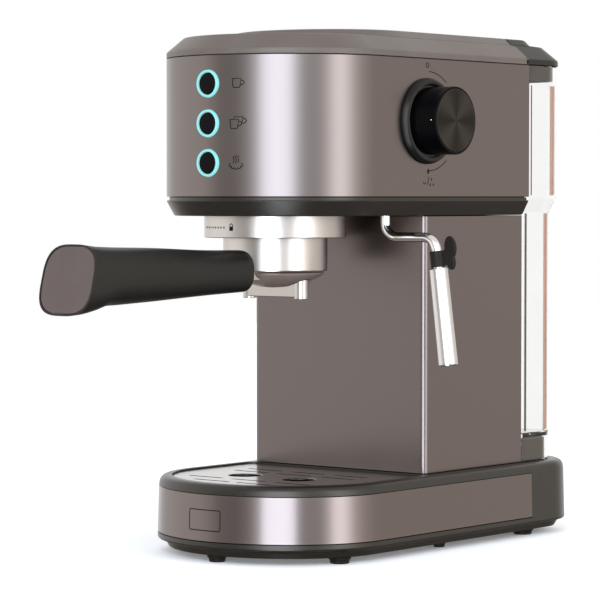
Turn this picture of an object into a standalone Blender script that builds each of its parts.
"""A slim pump espresso machine, as an assembly of separate solids.

Metres, +Z up, the floor at Z = 0 and the front towards -Y. Everything is laid out from
the brewing group's vertical axis, X = Y = 0 under the root empty, and the root empty then
stands the machine so that the middle of its outer box is at the world origin.
"""

import math

import bmesh
import bpy
from mathutils import Matrix, Vector

# Clearances and facets
GAP = 0.0003
SHEET = 0.0012
FRONT_STEPS = 22
CORNER_STEPS = 4
TURN_STEPS = 28
SMALL_STEPS = 14

# D-shaped plans: half width, front bow's depth, centre and power, flat rear, rear corners
BASE = {"half": 0.0750, "depth": 0.0687, "centre": 0.0049, "power": 1.97, "rear": 0.2120, "corner": 0.032}
TRAY = {"half": 0.0750, "depth": 0.0687, "centre": 0.0049, "power": 1.97, "rear": 0.0655, "corner": 0.014}
HEAD = {"half": 0.0704, "depth": 0.0637, "centre": 0.0042, "power": 1.86, "rear": 0.1568, "corner": 0.001}
RISE = {"half": 0.0597, "depth": 0.0555, "centre": 0.0460, "power": 2.00, "rear": 0.1527, "corner": 0.001}

# Rounded slab plans behind the column: half width, front, rear, rear corners
TANK_TOP = {"half": 0.0695, "front": 0.1575, "rear": 0.2040, "corner": 0.024}
TANK_LOW = {"half": 0.0651, "front": 0.1575, "rear": 0.2000, "corner": 0.020}
LID = {"half": 0.0704, "front": 0.1571, "rear": 0.2055, "corner": 0.0255}
LID_RISE = {"half": 0.0597, "front": 0.1571, "rear": 0.1880, "corner": 0.020}

# Heights
FOOT_TOP = 0.0037
BASE_BOTTOM = 0.0040
BASE_RIM = 0.0094
BAND_LOW = 0.0125
BAND_HIGH = 0.0393
BASE_TOP = 0.0453
GRILLE_TOP = 0.0443
COLUMN_LOW = BASE_TOP + GAP
HEAD_LOW = 0.1966
COLUMN_HIGH = HEAD_LOW - GAP
PANEL_LOW = 0.2076
PANEL_HIGH = 0.2876
SHOULDER = 0.2997
TOP = 0.3040

# Column
COLUMN_HALF = 0.0651
COLUMN_FRONT = 0.0583
COLUMN_REAR = 0.1568
COLUMN_EDGE = 0.0017
BAND_END = 0.1549
BAND_LEAN = 0.0007

# Group and portafilter
COLLAR_R = 0.0413
COLLAR_LOW = 0.1840
COLLAR_HIGH = 0.2040
LIP_R = 0.0325
GROOVE_R = 0.0378
CUP_R = 0.03035
CUP_LOW = 0.1645
CUP_HIGH = 0.1975
UNLOCK_TURN = math.radians(45)
SPOUT_X = 0.0195
SPOUT_R = 0.0040
SPOUT_LOW = 0.1485
SPOUT_CHANNEL_Z = 0.1520

# Handle
GRIP_REAR = -0.0336
BORE_Z = 0.1690
BORE_R = 0.0049
TANG_END = -0.1100
GRIP_END = 0.1736
GRIP_LOW = 0.1440
GRIP_HIGH = 0.1822
CAP_SLANT = 0.258
CAP_SHAPE = {"slant": CAP_SLANT, "power": 3.15, "taper": 0.015}

# Controls
BUTTON_Z = {"one_cup": 0.2714, "two_cups": 0.2490, "steam": 0.2267}
BUTTON_R = 0.0062
LIGHT_R = 0.0083
BUTTON_FACE = -0.0603
KNOB_Y = 0.0527
KNOB_Z = 0.2514
KNOB_R = 0.0196

# Steam wand
WAND_X = 0.0515
WAND_Y = 0.0380
WAND_RUN_Z = 0.1843
WAND_TILT = math.radians(7.35)
PIPE_R = 0.0028
SLEEVE_TOP = Vector((0.0897, WAND_Y, 0.1668))
SLEEVE_LENGTH = 0.0563
SLEEVE_WIDEST = 0.0555
SLEEVE_R = 0.0057

# The finger tab's two oval lobes: distance beside the wand and height above the sleeve of
# the middle, then the half width and half height
LOBES = {
    "upper_lobe": (0.0100, 0.0108, 0.0038, 0.0065),
    "lower_lobe": (0.0095, 0.0027, 0.0028, 0.0047),
}
LOBE_HALF_THICK = 0.0012

# Where the group axis stands from the middle of the machine's outer box
REACH_RIGHT = SLEEVE_TOP.x + SLEEVE_WIDEST * math.sin(WAND_TILT) + SLEEVE_R * math.cos(WAND_TILT)
REACH_FRONT = GRIP_END + CAP_SLANT * (GRIP_HIGH - GRIP_LOW) / 2
REACH_REAR = BASE["rear"] + 0.0005
GROUP_X = (BASE["half"] - REACH_RIGHT) / 2
GROUP_Y = (REACH_FRONT - REACH_REAR) / 2

# Places of the hidden works
VALVE_Y = 0.1790
PUMP_Y = 0.1100
HINGE_Y = 0.1532
HINGE_Z = 0.3042
FEET = {
    "foot_front": (0.0, -0.0518, 0.0050),
    "foot_left": (-0.0588, -0.0138, 0.0058),
    "foot_right": (0.0588, -0.0138, 0.0058),
    "foot_middle_left": (-0.0577, 0.0826, 0.0036),
    "foot_middle_right": (0.0577, 0.0826, 0.0036),
    "foot_rear_left": (-0.0590, 0.1673, 0.0060),
    "foot_rear_right": (0.0590, 0.1673, 0.0060),
}
SCREWS = {
    "base_screw_front_left": (-0.045, 0.075),
    "base_screw_front_right": (0.045, 0.075),
    "base_screw_rear_left": (-0.045, 0.185),
    "base_screw_rear_right": (0.045, 0.185),
}

FINISHES = {
    "taupe_steel": ((0.190, 0.155, 0.140), 0.34, 0.85),
    "taupe_paint": ((0.185, 0.155, 0.142), 0.42, 0.30),
    "charcoal_plastic": ((0.055, 0.052, 0.050), 0.45, 0.0),
    "black_plastic": ((0.018, 0.018, 0.018), 0.38, 0.0),
    "steel": ((0.62, 0.60, 0.58), 0.24, 1.0),
    "chrome": ((0.80, 0.80, 0.80), 0.08, 1.0),
    "aluminium": ((0.58, 0.58, 0.60), 0.40, 1.0),
    "brass": ((0.72, 0.52, 0.22), 0.30, 1.0),
    "rubber": ((0.022, 0.022, 0.022), 0.70, 0.0),
    "silicone": ((0.78, 0.78, 0.76), 0.50, 0.0),
    "clear_plastic": ((0.93, 0.95, 0.95), 0.05, 0.0),
    "light_ring": ((0.10, 0.75, 0.78), 0.30, 0.0),
    "circuit_board": ((0.03, 0.20, 0.08), 0.45, 0.0),
}


def clear_scene():
    for obj in list(bpy.data.objects):
        bpy.data.objects.remove(obj, do_unlink=True)


def collection(name):
    made = bpy.data.collections.new(name)
    bpy.context.scene.collection.children.link(made)
    return made


clear_scene()
PARTS = collection("espresso_machine")
CUTTERS = collection("cutters")
PLACES = {}


# ---------------------------------------------------------------- bodies and materials


def body(name, place, parent=None):
    """An empty on a joint's axis, which carries that joint's pieces."""
    empty = bpy.data.objects.new(name, None)
    empty.empty_display_size = 0.02
    PARTS.objects.link(empty)
    PLACES[name] = Vector(place)
    if parent is None:
        empty.location = place
        return empty
    empty.parent = parent
    empty.location = PLACES[name] - PLACES[parent.name]
    return empty


def finish(name):
    """The named finish as a Principled material, made the first time it is asked for."""
    made = bpy.data.materials.get(name)
    if made:
        return made
    colour, roughness, metallic = FINISHES[name]
    made = bpy.data.materials.new(name)
    made.use_nodes = True
    shader = made.node_tree.nodes["Principled BSDF"]
    shader.inputs["Base Color"].default_value = (*colour, 1.0)
    shader.inputs["Roughness"].default_value = roughness
    shader.inputs["Metallic"].default_value = metallic
    if name == "clear_plastic":
        shader.inputs["Transmission Weight"].default_value = 1.0
        shader.inputs["IOR"].default_value = 1.46
    if name == "light_ring":
        shader.inputs["Emission Color"].default_value = (*colour, 1.0)
        shader.inputs["Emission Strength"].default_value = 1.0
    return made


def part(name, mesh, finish_name, carrier):
    """A named piece of the machine, drawn in the group's frame and carried by a body."""
    mesh.name = name
    mesh.materials.clear()
    mesh.materials.append(finish(finish_name))
    mesh.shade_smooth()
    mesh.set_sharp_from_angle(angle=math.radians(35))
    obj = bpy.data.objects.new(name, mesh)
    PARTS.objects.link(obj)
    obj.parent = carrier
    obj.matrix_parent_inverse = Matrix.Translation(-PLACES[carrier.name])
    return obj


def cutter(name, mesh):
    """A helper shape for a Boolean, left out of the model."""
    obj = bpy.data.objects.new(name, mesh)
    obj.hide_render = True
    obj.display_type = "WIRE"
    obj.parent = ROOT
    CUTTERS.objects.link(obj)
    return obj


def boolean(obj, other, operation="DIFFERENCE"):
    modifier = obj.modifiers.new(operation.lower(), "BOOLEAN")
    modifier.operation = operation
    modifier.solver = "EXACT"
    modifier.object = other


# ---------------------------------------------------------------------------- outlines


def bowed(plan, inset=0.0, rear=None):
    """A D-shaped outline, anticlockwise from the left end of its bow."""
    half = plan["half"] - inset
    depth = plan["depth"] - inset
    corner = max(plan["corner"] - inset, 0.0008)
    back = plan["rear"] - inset if rear is None else rear
    points = []
    for step in range(FRONT_STEPS + 1):
        turn = math.pi * (step / FRONT_STEPS - 0.5)
        across = math.copysign(abs(math.sin(turn)) ** (2 / plan["power"]), math.sin(turn))
        forward = abs(math.cos(turn)) ** (2 / plan["power"])
        points.append((half * across, plan["centre"] - depth * forward))
    points += corner_arc(half - corner, back - corner, corner, 0.0)
    points += corner_arc(corner - half, back - corner, corner, 90.0)
    return points


def slab(plan, inset=0.0, front=None):
    """A rounded slab's outline, anticlockwise from its front left corner."""
    half = plan["half"] - inset
    near = plan["front"] + inset if front is None else front
    back = plan["rear"] - inset
    corner = plan["corner"] - inset
    small = 0.0012
    points = corner_arc(small - half, near + small, small, 180.0)
    points += corner_arc(half - small, near + small, small, 270.0)
    points += corner_arc(half - corner, back - corner, corner, 0.0)
    points += corner_arc(corner - half, back - corner, corner, 90.0)
    return points


def corner_arc(x, y, radius, start):
    """A quarter circle about (x, y), from start degrees on anticlockwise."""
    turns = [math.radians(start + 90 * step / CORNER_STEPS) for step in range(CORNER_STEPS + 1)]
    return [(x + radius * math.cos(turn), y + radius * math.sin(turn)) for turn in turns]


def at_height(outline, z):
    return [(x, y, z) for x, y in outline]


# ------------------------------------------------------------------------------ shapes


def skin(rings):
    """A closed mesh over a stack of rings with equally many points, capped at both ends."""
    bm = bmesh.new()
    rows = [[bm.verts.new(point) for point in ring] for ring in rings]
    for low, high in zip(rows, rows[1:]):
        for i, corner in enumerate(low):
            j = (i + 1) % len(low)
            bm.faces.new((corner, low[j], high[j], high[i]))
    bm.faces.new(rows[0])
    bm.faces.new(rows[-1])
    bmesh.ops.recalc_face_normals(bm, faces=bm.faces)
    return to_mesh(bm)


def to_mesh(bm):
    mesh = bpy.data.meshes.new("shape")
    bm.to_mesh(mesh)
    bm.free()
    return mesh


def block(low, high, bevel=0.0):
    """A box between two corners, with its edges rounded where a bevel is given."""
    low, high = Vector(low), Vector(high)
    bm = bmesh.new()
    bmesh.ops.create_cube(bm, size=1.0)
    bmesh.ops.scale(bm, vec=high - low, verts=bm.verts)
    bmesh.ops.translate(bm, vec=(low + high) / 2, verts=bm.verts)
    if bevel:
        bmesh.ops.bevel(bm, geom=bm.edges, offset=bevel, segments=2, profile=0.5, affect="EDGES")
    return to_mesh(bm)


def rod(start, end, radius, segments=SMALL_STEPS):
    """A plain cylinder between two points."""
    start, end = Vector(start), Vector(end)
    bm = bmesh.new()
    bmesh.ops.create_cone(
        bm, cap_ends=True, segments=segments, radius1=radius, radius2=radius, depth=(end - start).length
    )
    aim = Vector((0, 0, 1)).rotation_difference(end - start).to_matrix().to_4x4()
    bmesh.ops.transform(bm, matrix=Matrix.Translation((start + end) / 2) @ aim, verts=bm.verts)
    return to_mesh(bm)


def turned(profile, ring=False):
    """The open or closed profile of a turned piece, as (radius, height) points."""
    count = len(profile)
    edges = [(i, i + 1) for i in range(count - 1)]
    if ring:
        edges.append((count - 1, 0))
    mesh = bpy.data.meshes.new("profile")
    mesh.from_pydata([(radius, 0.0, height) for radius, height in profile], edges, [])
    return mesh


def spin(obj, steps=TURN_STEPS):
    """Turns an object's profile about its own Z axis."""
    modifier = obj.modifiers.new("turn", "SCREW")
    modifier.steps = steps
    modifier.render_steps = steps
    modifier.use_merge_vertices = True
    modifier.merge_threshold = 0.00001
    modifier.use_smooth_shade = True
    return obj


def on_axis(obj, place, direction):
    """Stands a turned piece on a point, with its own Z along a direction."""
    obj.location = place
    obj.rotation_euler = Vector((0, 0, 1)).rotation_difference(Vector(direction)).to_euler()
    return obj


def turned_part(name, profile, finish_name, carrier, ring=False, steps=TURN_STEPS):
    obj = part(name, turned(profile, ring), finish_name, carrier)
    return spin(obj, steps)


def turned_cutter(name, profile, steps=TURN_STEPS):
    return spin(cutter(name, turned(profile)), steps)


def tube(name, points, radius, finish_name, carrier):
    """A bent tube of round section through a line of points."""
    curve = bpy.data.curves.new(name, "CURVE")
    curve.dimensions = "3D"
    curve.bevel_depth = radius
    curve.bevel_resolution = 2
    curve.use_fill_caps = True
    spline = curve.splines.new("POLY")
    spline.points.add(len(points) - 1)
    for target, point in zip(spline.points, points):
        target.co = (*point, 1.0)
    spline.use_smooth = True
    curve.materials.append(finish(finish_name))
    obj = bpy.data.objects.new(name, curve)
    PARTS.objects.link(obj)
    obj.parent = carrier
    obj.matrix_parent_inverse = Matrix.Translation(-PLACES[carrier.name])
    return obj


def filleted(corners, radius, steps=5):
    """A line through corners, with each inner corner rounded to an arc."""
    corners = [Vector(corner) for corner in corners]
    points = [corners[0]]
    for before, here, after in zip(corners, corners[1:], corners[2:]):
        way_in = (here - before).normalized()
        way_out = (after - here).normalized()
        turn = way_in.angle(way_out)
        reach = radius * math.tan(turn / 2)
        start = here - way_in * reach
        inward = (way_out - way_in * math.cos(turn)).normalized()
        for step in range(steps + 1):
            part_turn = turn * step / steps
            along = way_in * math.sin(part_turn)
            across = inward * (1 - math.cos(part_turn))
            points.append(start + radius * (along + across))
    points.append(corners[-1])
    return points


def wrap(path_outer, path_inner, low, high, lean=0.0):
    """A bent sheet that stands between two heights, with its outer face leaning inwards."""
    rings = []
    for (ox, oy), (ix, iy) in zip(path_outer, path_inner):
        toward = Vector((ix - ox, iy - oy)).normalized() * lean
        rings.append(
            [
                (ox, oy, low),
                (ox + toward.x, oy + toward.y, high),
                (ix + toward.x, iy + toward.y, high),
                (ix, iy, low),
            ]
        )
    return skin(rings)


def bow_path(plan, inset, end):
    """The front and sides of a D-shaped plan, from its left side round to its right."""
    bow = bowed(plan, inset)[: FRONT_STEPS + 1]
    half = plan["half"] - inset
    return [(-half, end), *bow, (half, end)]


# ------------------------------------------------------------------------------- base


def make_base():
    """The base shell with its wrapped band, bottom cover, screws, feet and cord inlet."""
    profile = (
        (0.0064, BASE_BOTTOM),
        (0.0042, 0.0076),
        (0.0008, 0.0086),
        (0.0, BASE_RIM),
        (0.0008, 0.0400),
        (0.0013, 0.0425),
        (0.0026, 0.0444),
        (0.0048, BASE_TOP),
    )
    shell = part(
        "base_shell",
        skin([at_height(bowed(BASE, inset), z) for inset, z in profile]),
        "charcoal_plastic",
        ROOT,
    )
    cavity = bowed(BASE, 0.0090)
    boolean(shell, cutter("base_cavity", skin([at_height(cavity, 0.0), at_height(cavity, 0.0423)])))
    well = bowed(TRAY, 0.0085)
    boolean(shell, cutter("tray_well", skin([at_height(well, 0.0235), at_height(well, 0.0500)])))
    recess = wrap(
        bow_path(BASE, -0.0030, BAND_END + GAP),
        bow_path(BASE, SHEET + BAND_LEAN + GAP, BAND_END + GAP),
        BAND_LOW - GAP,
        BAND_HIGH + GAP,
    )
    boolean(shell, cutter("band_recess", recess))
    for name, y in (("tank_port", VALVE_Y), ("pump_port", PUMP_Y)):
        boolean(shell, cutter(name, rod((0, y, 0.038), (0, y, 0.050), 0.0070)))
    inlet_x, inlet_z = -0.045, 0.0220
    boolean(
        shell,
        cutter("inlet_hole", rod((inlet_x, 0.195, inlet_z), (inlet_x, 0.220, inlet_z), 0.0062)),
    )

    band = wrap(
        bow_path(BASE, 0.0, BAND_END),
        bow_path(BASE, SHEET, BAND_END),
        BAND_LOW,
        BAND_HIGH,
        lean=BAND_LEAN,
    )
    part("base_band", band, "taupe_steel", ROOT)

    inlet = turned_part(
        "cord_inlet",
        ((0.0058, 0.0115), (0.0058, 0.0), (0.0036, 0.0), (0.0036, 0.0115)),
        "rubber",
        ROOT,
        ring=True,
        steps=SMALL_STEPS,
    )
    on_axis(inlet, (inlet_x, REACH_REAR - 0.0115, inlet_z), (0, 1, 0))
    make_base_cover()


def make_base_cover():
    """The bottom cover, the four screws that hold it and the seven feet."""
    outline = bowed(BASE, 0.0094)
    cover = part(
        "base_cover",
        skin([at_height(outline, BASE_BOTTOM), at_height(outline, BASE_BOTTOM + 0.0026)]),
        "charcoal_plastic",
        ROOT,
    )
    for name, (x, y) in SCREWS.items():
        hole = cutter(name + "_hole", rod((x, y, 0.0), (x, y, 0.0150), 0.0035, 12))
        boolean(cover, hole)
        profile = (
            (0.0, 0.0148),
            (0.0014, 0.0148),
            (0.0014, 0.0064),
            (0.0031, 0.0060),
            (0.0031, 0.0044),
            (0.0, 0.0044),
        )
        on_axis(turned_part(name, profile, "steel", ROOT, steps=12), (x, y, 0.0), (0, 0, 1))
    for name, (x, y, radius) in FEET.items():
        profile = (
            (0.0, FOOT_TOP),
            (radius + 0.0008, FOOT_TOP),
            (radius + 0.0008, FOOT_TOP - 0.0010),
            (radius, FOOT_TOP - 0.0014),
            (radius - 0.0004, 0.0),
            (0.0, 0.0),
        )
        on_axis(turned_part(name, profile, "rubber", ROOT, steps=SMALL_STEPS), (x, y, 0.0), (0, 0, 1))


# ------------------------------------------------------------------------- drip tray


def slot_outline(x0, x1, y, half):
    """A round-ended slot along X."""
    right = [math.radians(-90 + 45 * step) for step in range(5)]
    left = [math.radians(90 + 45 * step) for step in range(5)]
    ends = [(x1 - half + half * math.cos(a), y + half * math.sin(a)) for a in right]
    return ends + [(x0 + half + half * math.cos(a), y + half * math.sin(a)) for a in left]


def make_tray(tray_body, grille_body):
    """The lift-out drip tray and the slotted plate that lies in it."""
    profile = (
        (0.0125, 0.0080),
        (0.0094, 0.0240),
        (0.0088, 0.0428),
        (0.0125, 0.0428),
        (0.0128, 0.0300),
        (0.0150, 0.0100),
    )
    part(
        "drip_tray",
        skin([at_height(bowed(TRAY, inset), z) for inset, z in profile]),
        "black_plastic",
        tray_body,
    )
    outline = bowed(TRAY, 0.0092)
    grille = part(
        "drip_grille",
        skin([at_height(outline, 0.0431), at_height(outline, GRILLE_TOP)]),
        "steel",
        grille_body,
    )
    triple = ((-0.0455, -0.0195), (-0.0130, 0.0130), (0.0195, 0.0455))
    pair = ((-0.0300, -0.0025), (0.0025, 0.0300))
    rows = ((-0.0380, pair), (-0.0240, triple), (0.0165, triple), (0.0295, triple))
    for row, (y, spans) in enumerate(rows):
        for column, (x0, x1) in enumerate(spans):
            slot = slot_outline(x0, x1, y, 0.0013)
            rings = [at_height(slot, 0.0420), at_height(slot, 0.0460)]
            boolean(grille, cutter(f"grille_slot_{row}_{column}", skin(rings)))
    for side in (-1, 1):
        x = side * 0.0205
        hole = cutter(f"drip_hole_{side}", rod((x, -0.003, 0.042), (x, -0.003, 0.046), 0.0098, 24))
        boolean(grille, hole)


# ------------------------------------------------------------------ column and head


def column_path(half, front, edge, rear):
    """A U-shaped plan with both front corners cut at 45 degrees."""
    return [
        (-half, rear),
        (-half, front + edge),
        (-half + edge, front),
        (half - edge, front),
        (half, front + edge),
        (half, rear),
    ]


def make_column():
    """The folded column wrap and the panel that closes its back."""
    inner_edge = COLUMN_EDGE - SHEET * (2 - math.sqrt(2))
    part(
        "column_wrap",
        wrap(
            column_path(COLUMN_HALF, COLUMN_FRONT, COLUMN_EDGE, COLUMN_REAR),
            column_path(COLUMN_HALF - SHEET, COLUMN_FRONT + SHEET, inner_edge, COLUMN_REAR),
            COLUMN_LOW,
            COLUMN_HIGH,
        ),
        "taupe_paint",
        ROOT,
    )
    half = COLUMN_HALF - SHEET - GAP
    part(
        "column_back",
        block((-half, 0.1541, COLUMN_LOW), (half, 0.1565, COLUMN_HIGH)),
        "charcoal_plastic",
        ROOT,
    )


def make_head():
    """The head's bottom skirt, brushed front wrap, back panel and top cover."""
    rear = HEAD["rear"]
    inner_rear = rear - 0.0025
    rings = (
        (0.0073, 0.1991, inner_rear),
        (0.0030, 0.2060, inner_rear),
        (0.0030, 0.2073, inner_rear),
        (0.0006, 0.2073, rear),
        (0.0006, 0.2053, rear),
        (0.0, 0.2051, rear),
        (0.0048, HEAD_LOW, rear),
    )
    skirt = part(
        "head_skirt",
        skin([at_height(bowed(HEAD, inset, back), z) for inset, z, back in rings]),
        "charcoal_plastic",
        ROOT,
    )
    for name, x, y, radius in (
        ("group_hole", 0.0, 0.0, COLLAR_R + 0.0005),
        ("wand_hole", WAND_X, WAND_Y, PIPE_R + 0.0010),
        ("hose_hole", 0.0, PUMP_Y, 0.0080),
    ):
        steps = TURN_STEPS if radius > 0.02 else SMALL_STEPS
        boolean(skirt, cutter(name, rod((x, y, 0.190), (x, y, 0.2065), radius, steps)))

    panel = part(
        "head_panel",
        wrap(bow_path(HEAD, 0.0, rear), bow_path(HEAD, SHEET, rear), PANEL_LOW, PANEL_HIGH),
        "taupe_steel",
        ROOT,
    )
    for name, z in BUTTON_Z.items():
        hole = rod((0, -0.070, z), (0, -0.050, z), LIGHT_R + GAP, 20)
        boolean(panel, cutter(name + "_hole", hole))
    shaft_hole = rod((0.060, KNOB_Y, KNOB_Z), (0.080, KNOB_Y, KNOB_Z), 0.0110)
    boolean(panel, cutter("shaft_hole", shaft_hole))

    half = HEAD["half"] - SHEET - GAP
    part(
        "head_back",
        block((-half, 0.1541, PANEL_LOW), (half, 0.1565, PANEL_HIGH)),
        "charcoal_plastic",
        ROOT,
    )

    rise_inner = at_height(bowed(RISE, 0.0070), 0.3012)
    lower = (
        (0.0135, 0.2974, inner_rear),
        (0.0025, 0.2899, inner_rear),
        (0.0025, PANEL_HIGH + GAP, inner_rear),
        (0.0, PANEL_HIGH + GAP, rear),
        (0.0, 0.2909, rear),
        (0.0105, SHOULDER, rear),
    )
    upper = ((0.0, 0.2999), (0.0042, 0.3036), (0.0062, TOP))
    part(
        "top_cover",
        skin(
            [rise_inner]
            + [at_height(bowed(HEAD, inset, back), z) for inset, z, back in lower]
            + [at_height(bowed(RISE, inset, RISE["rear"]), z) for inset, z in upper]
        ),
        "taupe_paint",
        ROOT,
    )


# -------------------------------------------------------------------------- water tank


def make_tank(tank_body, lid_body):
    """The clear tank on its seat, with its valve, collar and hinged lid."""
    wall = 0.0020
    rings = (
        (TANK_LOW, wall, 0.0600),
        (TANK_LOW, wall, 0.0458),
        (TANK_LOW, 0.0, 0.0458),
        (TANK_LOW, 0.0, 0.1985),
        (TANK_TOP, 0.0, 0.2065),
        (TANK_TOP, 0.0, 0.2875),
        (TANK_TOP, wall, 0.2875),
        (TANK_TOP, wall, 0.2072),
        (TANK_LOW, wall, 0.1992),
        (TANK_LOW, wall, 0.0622),
    )
    tank = part(
        "water_tank",
        skin([at_height(slab(plan, inset), z) for plan, inset, z in rings]),
        "clear_plastic",
        tank_body,
    )
    boolean(tank, cutter("valve_hole", rod((0, VALVE_Y, 0.055), (0, VALVE_Y, 0.070), 0.0090)))

    valve = (
        (0.0, 0.0700),
        (0.0060, 0.0700),
        (0.0066, 0.0648),
        (0.0120, 0.0648),
        (0.0120, 0.0625),
        (0.0086, 0.0625),
        (0.0086, 0.0562),
        (0.0, 0.0562),
    )
    on_axis(
        turned_part("tank_valve", valve, "black_plastic", tank_body, steps=SMALL_STEPS),
        (0, VALVE_Y, 0),
        (0, 0, 1),
    )

    outline = slab(TANK_TOP, wall + GAP)
    rim = part(
        "tank_rim",
        skin([at_height(outline, 0.2788), at_height(outline, 0.2872)]),
        "taupe_paint",
        tank_body,
    )
    mouth = slab(TANK_TOP, wall + GAP + 0.0016)
    boolean(rim, cutter("tank_mouth", skin([at_height(mouth, 0.270), at_height(mouth, 0.295)])))

    seat = part(
        "tank_seat",
        skin(
            [
                at_height(slab(TANK_LOW, 0.0050), 0.0560),
                at_height(slab(TANK_LOW, 0.0050), COLUMN_LOW),
                at_height(slab(TANK_LOW, 0.0026), COLUMN_LOW),
                at_height(slab(TANK_LOW, 0.0026), 0.0585),
            ]
        ),
        "taupe_paint",
        ROOT,
    )
    boolean(seat, cutter("seat_hole", rod((0, VALVE_Y, 0.050), (0, VALVE_Y, 0.062), 0.0110)))

    front = LID["front"]
    rise_front = RISE["rear"] + 0.0004
    inner_front = front + 0.0020
    lower = (
        (0.0135, 0.2974, inner_front),
        (0.0025, 0.2899, inner_front),
        (0.0025, 0.2879, inner_front),
        (0.0, 0.2879, front),
        (0.0, 0.2909, front),
        (0.0105, SHOULDER, front),
    )
    rings = [at_height(slab(LID, inset, near), z) for inset, z, near in lower]
    rings.append(at_height(slab(LID_RISE, 0.0, front), 0.3001))
    rings.append(at_height(slab(LID_RISE, 0.0008, rise_front), 0.3002))
    rings.append(at_height(slab(LID_RISE, 0.0042, rise_front), 0.3036))
    rings.append(at_height(slab(LID_RISE, 0.0090, rise_front + 0.0003), TOP))
    part("tank_lid", skin(rings), "charcoal_plastic", lid_body)


# --------------------------------------------------------------------- brewing group


def make_group():
    """The bayonet collar, group head, gasket and shower screen, with the boiler above."""
    collar = turned_part(
        "group_collar",
        (
            (COLLAR_R, COLLAR_HIGH),
            (COLLAR_R, COLLAR_LOW + 0.0004),
            (COLLAR_R - 0.0004, COLLAR_LOW),
            (LIP_R, COLLAR_LOW),
            (LIP_R, 0.1882),
            (GROOVE_R, 0.1882),
            (GROOVE_R, COLLAR_HIGH),
        ),
        "steel",
        ROOT,
        ring=True,
    )
    for side in (0, 1):
        gap = block((0.0290, -0.0088, 0.1830), (GROOVE_R, 0.0088, 0.1890))
        notch = cutter(f"collar_notch_{side}", gap)
        notch.rotation_euler.z = side * math.pi - UNLOCK_TURN
        boolean(collar, notch)

    turned_part(
        "group_head",
        (
            (0.0, 0.2200),
            (0.0340, 0.2200),
            (0.0405, 0.2160),
            (0.0405, COLLAR_HIGH + GAP),
            (0.0, COLLAR_HIGH + GAP),
        ),
        "aluminium",
        ROOT,
    )
    turned_part(
        "group_gasket",
        ((0.0320, 0.2040), (0.0320, 0.1990), (0.0245, 0.1990), (0.0245, 0.2040)),
        "rubber",
        ROOT,
        ring=True,
    )
    turned_part(
        "shower_screen",
        (
            (0.0, 0.2004),
            (0.0232, 0.2004),
            (0.0232, 0.2040),
            (0.0240, 0.2040),
            (0.0240, 0.1996),
            (0.0, 0.1996),
        ),
        "steel",
        ROOT,
    )
    turned_part(
        "boiler",
        (
            (0.0, 0.2620),
            (0.0330, 0.2620),
            (0.0360, 0.2590),
            (0.0360, 0.2240),
            (0.0330, 0.2203),
            (0.0, 0.2203),
        ),
        "aluminium",
        ROOT,
    )


BOWL_PROFILE = (
    (0.0290, CUP_LOW - GAP),
    (0.0275, 0.1622),
    (0.0240, 0.1602),
    (0.0190, 0.1581),
    (0.0120, 0.1560),
    (0.0, 0.1550),
)


def make_portafilter(carrier):
    """The cup with its lugs and tang, the basket, the bowl, the twin spout and the grip."""
    cup = turned_part(
        "portafilter_cup",
        (
            (0.0, 0.1675),
            (0.0284, 0.1675),
            (0.0284, CUP_HIGH),
            (CUP_R, CUP_HIGH),
            (CUP_R, CUP_LOW + 0.0007),
            (CUP_R - 0.0007, CUP_LOW),
            (0.0, CUP_LOW),
        ),
        "steel",
        carrier,
    )
    for side in (-1, 1):
        inner, outer = side * 0.0292, side * 0.0364
        low, high = min(inner, outer), max(inner, outer)
        lug = cutter(f"lug_{side}", block((low, -0.0075, 0.1886), (high, 0.0075, 0.1926)))
        boolean(cup, lug, "UNION")
    neck_front = GRIP_REAR + 0.0004
    clearance = turned_cutter("neck_clearance", bowl_clearance())
    neck = cutter("neck", block((-0.0085, neck_front, 0.1620), (0.0085, -0.0288, 0.1765), 0.0012))
    gusset = cutter("gusset", block((-0.0080, neck_front + 0.0002, 0.1600), (0.0080, -0.0200, 0.1665)))
    for piece in (neck, gusset):
        boolean(piece, clearance)
        boolean(cup, piece, "UNION")
    tang = cutter("tang", rod((0, -0.0300, BORE_Z), (0, TANG_END, BORE_Z), BORE_R - 0.0004))
    boolean(cup, tang, "UNION")
    boolean(cup, cutter("outlet", rod((0, 0, 0.150), (0, 0, 0.169), 0.0050)))

    turned_part(
        "filter_basket",
        (
            (0.0, 0.1708),
            (0.0272, 0.1708),
            (0.0272, 0.1986),
            (0.0300, 0.1986),
            (0.0300, 0.1978),
            (0.0280, 0.1978),
            (0.0280, 0.1700),
            (0.0, 0.1700),
        ),
        "steel",
        carrier,
    )
    shape = ((0.0, CUP_LOW - GAP), *BOWL_PROFILE)
    bowl = turned_part("portafilter_bowl", shape, "black_plastic", carrier)
    boolean(bowl, cutter("bowl_outlet", rod((0, 0, 0.150), (0, 0, 0.169), 0.0040)))
    make_spout(carrier)
    make_grip(carrier)


def bowl_clearance():
    """The bowl's profile grown by a small gap, up to inside the cup."""
    grown = [(radius + 0.0004, z - GAP) for radius, z in BOWL_PROFILE[:-1]]
    return ((0.0, 0.1700), (grown[0][0], 0.1700), *grown, (0.0, BOWL_PROFILE[-1][1] - GAP))


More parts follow.
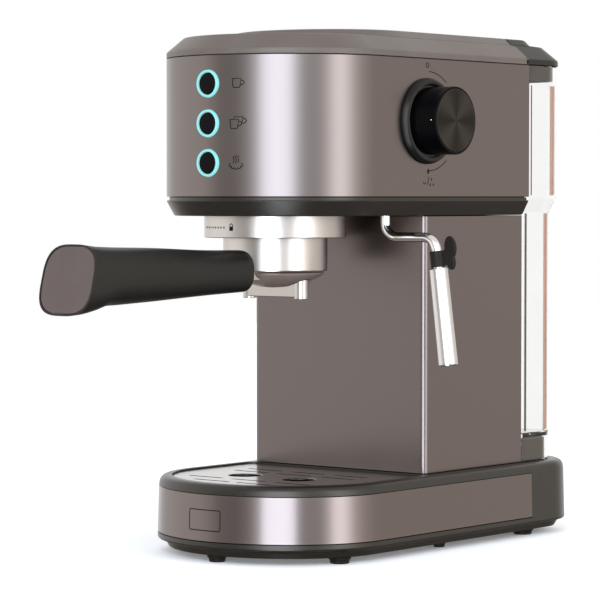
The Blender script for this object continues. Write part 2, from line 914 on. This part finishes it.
def make_spout(carrier):
    """The twin spout: a bar under the bowl with a round outlet at each end."""
    bar = block((-SPOUT_X, -0.0036, SPOUT_LOW + 0.0010), (SPOUT_X, 0.0036, 0.1580))
    spout = part("twin_spout", bar, "steel", carrier)
    for side in (-1, 1):
        x = side * SPOUT_X
        outlet = cutter(f"spout_outlet_{side}", rod((x, 0, SPOUT_LOW), (x, 0, 0.1610), SPOUT_R, 20))
        boolean(spout, outlet, "UNION")
    boolean(spout, turned_cutter("spout_clearance", bowl_clearance()))
    channel = rod((-SPOUT_X, 0, SPOUT_CHANNEL_Z), (SPOUT_X, 0, SPOUT_CHANNEL_Z), 0.0017, 8)
    boolean(spout, cutter("spout_channel", channel))
    inlet = rod((0, 0, SPOUT_CHANNEL_Z), (0, 0, 0.1560), 0.0028)
    boolean(spout, cutter("spout_inlet", inlet))
    for side in (-1, 1):
        x = side * SPOUT_X
        boolean(spout, cutter(f"spout_bore_{side}", rod((x, 0, 0.1450), (x, 0, 0.1550), 0.0029)))


def grip_section(y, half_width, low, high, slant=0.0, power=2.7, taper=0.0):
    """A rounded section across the handle, leaning by slant and narrowing upwards by taper."""
    centre, half_height = (low + high) / 2, (high - low) / 2
    points = []
    for step in range(24):
        turn = math.tau * step / 24
        across = math.copysign(abs(math.cos(turn)) ** (2 / power), math.cos(turn))
        upward = math.copysign(abs(math.sin(turn)) ** (2 / power), math.sin(turn))
        x = half_width * across * (1 - taper * upward)
        z = centre + half_height * upward
        points.append((x, y + slant * (z - centre), z))
    return points


def make_grip(carrier):
    """The moulded grip on the tang, and the cap let into its end."""
    bore = {"low": BORE_Z - BORE_R, "high": BORE_Z + BORE_R, "power": 2.0}
    rings = [
        grip_section(TANG_END - 0.0006, BORE_R, **bore),
        grip_section(GRIP_REAR, BORE_R, **bore),
        grip_section(GRIP_REAR, 0.0104, 0.1552, 0.1754),
        grip_section(GRIP_REAR - 0.0022, 0.0126, 0.1530, 0.1770),
        grip_section(-0.0660, 0.0136, 0.1519, 0.1776),
        grip_section(-0.1080, 0.0152, 0.1499, 0.1794, 0.03),
        grip_section(-0.1380, 0.0172, 0.1487, 0.1801, 0.10),
        grip_section(-0.1500, 0.0182, 0.1482, 0.1805, 0.16, 2.8, 0.010),
        grip_section(-0.1600, 0.0189, 0.1458, 0.1809, 0.21, 3.0, 0.015),
        grip_section(-0.1680, 0.0193, 0.1444, 0.1816, 0.24, 3.1, 0.015),
        grip_section(-GRIP_END, 0.0195, GRIP_LOW, GRIP_HIGH, **CAP_SHAPE),
        grip_section(-GRIP_END, 0.0185, GRIP_LOW + 0.0010, GRIP_HIGH - 0.0010, **CAP_SHAPE),
        grip_section(0.0020 - GRIP_END, 0.0185, GRIP_LOW + 0.0010, GRIP_HIGH - 0.0010, **CAP_SHAPE),
    ]
    part("handle_grip", skin(rings), "black_plastic", carrier)
    cap = [
        grip_section(0.0017 - GRIP_END, 0.0182, GRIP_LOW + 0.0013, GRIP_HIGH - 0.0013, **CAP_SHAPE),
        grip_section(0.0002 - GRIP_END, 0.0182, GRIP_LOW + 0.0013, GRIP_HIGH - 0.0013, **CAP_SHAPE),
        grip_section(-GRIP_END, 0.0179, GRIP_LOW + 0.0016, GRIP_HIGH - 0.0016, **CAP_SHAPE),
    ]
    part("handle_cap", skin(cap), "taupe_paint", carrier)


# --------------------------------------------------------------------------- controls


def make_buttons(bodies):
    """Three push buttons in their light guide, and the board with a switch behind each."""
    for name, z in BUTTON_Z.items():
        cap = turned_part(
            "button_" + name,
            (
                (0.0, 0.0004),
                (BUTTON_R - 0.0010, 0.0002),
                (BUTTON_R, -0.0006),
                (BUTTON_R, -0.0070),
                (0.0030, -0.0070),
                (0.0030, -0.0093),
                (0.0, -0.0093),
            ),
            "black_plastic",
            bodies[name],
            steps=20,
        )
        on_axis(cap, (0, BUTTON_FACE, z), (0, -1, 0))
    make_light_guide()
    plate = block((-0.0160, -0.0465, 0.2150), (0.0160, -0.0449, 0.2830))
    board = part("control_board", plate, "circuit_board", ROOT)
    for name, z in BUTTON_Z.items():
        switch = block((-0.0030, -0.0494, z - 0.003), (0.0030, -0.0455, z + 0.003))
        boolean(board, cutter(name + "_switch", switch), "UNION")


def make_light_guide():
    """One clear moulding: a ring round each button, joined by a strip behind the panel."""
    bore = BUTTON_R + GAP
    strip_back = BUTTON_FACE + 0.0076
    strip = block((-0.0100, strip_back - 0.0018, 0.2152), (0.0100, strip_back, 0.2828))
    guide = part("light_guide", strip, "light_ring", ROOT)
    for name, z in BUTTON_Z.items():
        hole = rod((0, -0.0650, z), (0, -0.0500, z), bore + 0.0007, 16)
        boolean(guide, cutter(name + "_bore", hole))
        profile = (
            (LIGHT_R - 0.0005, 0.0006),
            (LIGHT_R, 0.0001),
            (LIGHT_R, -0.0080),
            (bore, -0.0080),
            (bore, 0.0004),
            (bore + 0.0004, 0.0006),
        )
        ring = spin(cutter(name + "_ring", turned(profile, ring=True)), 20)
        boolean(guide, on_axis(ring, (0, BUTTON_FACE, z), (0, -1, 0)), "UNION")


def make_knob(carrier):
    """The steam knob in its bezel, its stem, and the valve that the stem opens."""
    side = (HEAD["half"], KNOB_Y, KNOB_Z)
    out = (1, 0, 0)
    bezel = turned_part(
        "knob_bezel",
        (
            (0.0236, 0.0040),
            (0.0249, 0.0014),
            (0.0249, GAP),
            (0.0042, GAP),
            (0.0042, 0.0012),
            (0.0208, 0.0012),
            (0.0214, 0.0040),
        ),
        "black_plastic",
        ROOT,
        ring=True,
    )
    on_axis(bezel, side, out)
    knob = turned_part(
        "steam_knob",
        (
            (0.0, 0.0202),
            (0.0184, 0.0202),
            (0.0184, 0.0208),
            (KNOB_R - 0.0005, 0.0208),
            (KNOB_R, 0.0203),
            (KNOB_R, 0.0016),
            (0.0034, 0.0016),
            (0.0034, 0.0160),
            (0.0, 0.0160),
        ),
        "black_plastic",
        carrier,
    )
    on_axis(knob, side, out)
    face = turned_part(
        "knob_face",
        ((0.0, 0.0211), (0.0176, 0.0211), (0.0181, 0.0208), (0.0181, 0.0205), (0.0, 0.0205)),
        "aluminium",
        carrier,
    )
    on_axis(face, side, out)
    stem = turned_part(
        "valve_stem",
        ((0.0, 0.0157), (0.0030, 0.0157), (0.0030, -0.0180), (0.0, -0.0200)),
        "brass",
        carrier,
        steps=SMALL_STEPS,
    )
    on_axis(stem, side, out)
    valve = turned_part(
        "steam_valve",
        (
            (0.0, -0.0208),
            (0.0034, -0.0208),
            (0.0034, -0.0050),
            (0.0090, -0.0050),
            (0.0105, -0.0065),
            (0.0105, -0.0300),
            (0.0, -0.0300),
        ),
        "brass",
        ROOT,
        steps=SMALL_STEPS,
    )
    on_axis(valve, side, out)


# ------------------------------------------------------------------------- steam wand


def along_wand(distance):
    """A point on the wand's slanting axis, below the top of its sleeve."""
    return SLEEVE_TOP + distance * Vector((math.sin(WAND_TILT), 0, -math.cos(WAND_TILT)))


def flat_beside_wand(outline, up):
    """A thin plate in the wand's own plane, from points beside the wand and above the sleeve."""
    outward = Vector((math.cos(WAND_TILT), 0, math.sin(WAND_TILT)))
    flat = [SLEEVE_TOP + outward * aside + up * height for aside, height in outline]
    thick = Vector((0, LOBE_HALF_THICK, 0))
    return skin([[point - thick for point in flat], [point + thick for point in flat]])


def make_wand(wand_body, sleeve_body):
    """The bent steam pipe with its finger grip, and the frothing sleeve that pulls off."""
    run_end_x = SLEEVE_TOP.x - math.tan(WAND_TILT) * (WAND_RUN_Z - SLEEVE_TOP.z)
    corners = (
        (WAND_X, WAND_Y, 0.2060),
        (WAND_X, WAND_Y, WAND_RUN_Z),
        (run_end_x, WAND_Y, WAND_RUN_Z),
        along_wand(0.0470),
    )
    tube("wand_pipe", filleted(corners, 0.0085), PIPE_R, "chrome", wand_body)

    up = along_wand(-1.0) - along_wand(0.0)
    grip = turned_part(
        "wand_grip",
        ((0.0041, 0.0098), (0.0041, 0.0004), (PIPE_R + GAP, 0.0004), (PIPE_R + GAP, 0.0098)),
        "rubber",
        wand_body,
        ring=True,
        steps=SMALL_STEPS,
    )
    on_axis(grip, SLEEVE_TOP, up)
    for name, (aside, height, wide, tall) in LOBES.items():
        turns = [math.tau * step / 24 for step in range(24)]
        oval = [(aside + wide * math.cos(turn), height + tall * math.sin(turn)) for turn in turns]
        boolean(grip, cutter(name, flat_beside_wand(oval, up)), "UNION")
    web = ((0.0030, 0.0010), (0.0100, 0.0010), (0.0100, 0.0110), (0.0078, 0.0110), (0.0030, 0.0090))
    boolean(grip, cutter("tab_web", flat_beside_wand(web, up)), "UNION")

    sleeve = turned_part(
        "froth_sleeve",
        (
            (0.0049, 0.0),
            (0.0054, -0.0006),
            (SLEEVE_R, -SLEEVE_WIDEST),
            (0.0054, -SLEEVE_LENGTH),
            (0.0042, -SLEEVE_LENGTH),
            (0.0042, -0.0490),
            (PIPE_R + 0.0005, -0.0485),
            (PIPE_R + 0.0005, 0.0),
        ),
        "steel",
        sleeve_body,
        ring=True,
        steps=24,
    )
    on_axis(sleeve, SLEEVE_TOP, up)
    socket = turned_part(
        "wand_socket",
        ((0.0080, 0.2075), (0.0080, 0.1994), (PIPE_R + GAP, 0.1994), (PIPE_R + GAP, 0.2075)),
        "brass",
        ROOT,
        ring=True,
        steps=SMALL_STEPS,
    )
    on_axis(socket, (WAND_X, WAND_Y, 0.0), (0, 0, 1))


# ---------------------------------------------------------------------- hidden works


def make_works():
    """The pump on its bracket, and the lines from tank to pump, boiler, valve and wand."""
    pump = turned_part(
        "pump",
        (
            (0.0, 0.1560),
            (0.0040, 0.1560),
            (0.0040, 0.1500),
            (0.0120, 0.1500),
            (0.0120, 0.1420),
            (0.0215, 0.1420),
            (0.0215, 0.0900),
            (0.0100, 0.0900),
            (0.0100, 0.0800),
            (0.0040, 0.0800),
            (0.0040, 0.0740),
            (0.0, 0.0740),
        ),
        "black_plastic",
        ROOT,
        steps=24,
    )
    on_axis(pump, (0, PUMP_Y, 0), (0, 0, 1))
    mount = turned_part(
        "pump_mount",
        (
            (0.0270, 0.1220),
            (0.0270, 0.1120),
            (0.0218, 0.1120),
            (0.0218, 0.1220),
        ),
        "rubber",
        ROOT,
        ring=True,
        steps=24,
    )
    on_axis(mount, (0, PUMP_Y, 0), (0, 0, 1))
    plate = block((-0.0600, 0.0650, 0.1160), (0.0600, 0.1500, 0.1180))
    bracket = part("pump_bracket", plate, "aluminium", ROOT)
    boolean(bracket, cutter("pump_hole", rod((0, PUMP_Y, 0.110), (0, PUMP_Y, 0.125), 0.0274, 24)))

    low_z = 0.0250
    corners = ((0, VALVE_Y, 0.0550), (0, VALVE_Y, low_z), (0, PUMP_Y, low_z), (0, PUMP_Y, 0.0737))
    tube("suction_hose", filleted(corners, 0.014), 0.0035, "silicone", ROOT)

    high_z = 0.2350
    corners = ((0, PUMP_Y, 0.1563), (0, PUMP_Y, high_z), (0, 0.0366, high_z))
    tube("pressure_hose", filleted(corners, 0.018), 0.0030, "silicone", ROOT)

    valve_end = HEAD["half"] - 0.0303
    corners = ((0.0285, 0.0270, KNOB_Z), (0.0290, KNOB_Y, KNOB_Z), (valve_end, KNOB_Y, KNOB_Z))
    tube("boiler_steam_pipe", filleted(corners, 0.007), 0.0020, "steel", ROOT)

    corners = (
        (WAND_X, KNOB_Y, KNOB_Z - 0.0109),
        (WAND_X, KNOB_Y, 0.2240),
        (WAND_X, WAND_Y, 0.2200),
        (WAND_X, WAND_Y, 0.2080),
    )
    tube("wand_steam_pipe", filleted(corners, 0.004), 0.0020, "steel", ROOT)


ROOT = body("machine", (0.0, 0.0, 0.0))
PORTAFILTER = body("portafilter_axis", (0.0, 0.0, CUP_HIGH), ROOT)
TANK = body("tank_lift", (0.0, VALVE_Y, 0.0458), ROOT)
TANK_LID = body("lid_hinge", (0.0, HINGE_Y, HINGE_Z), TANK)
TRAY_BODY = body("tray_lift", (0.0, 0.0, 0.0428), ROOT)
GRILLE_BODY = body("grille_lift", (0.0, 0.0, GRILLE_TOP), TRAY_BODY)
KNOB = body("knob_axis", (HEAD["half"], KNOB_Y, KNOB_Z), ROOT)
WAND = body("wand_axis", (WAND_X, WAND_Y, HEAD_LOW), ROOT)
SLEEVE = body("sleeve_pull", SLEEVE_TOP, WAND)
BUTTONS = {name: body("press_" + name, (0.0, BUTTON_FACE, z), ROOT) for name, z in BUTTON_Z.items()}

make_base()
make_tray(TRAY_BODY, GRILLE_BODY)
make_column()
make_head()
make_tank(TANK, TANK_LID)
make_group()
make_portafilter(PORTAFILTER)
make_buttons(BUTTONS)
make_knob(KNOB)
make_wand(WAND, SLEEVE)
make_works()
ROOT.location = (GROUP_X, GROUP_Y, 0.0)
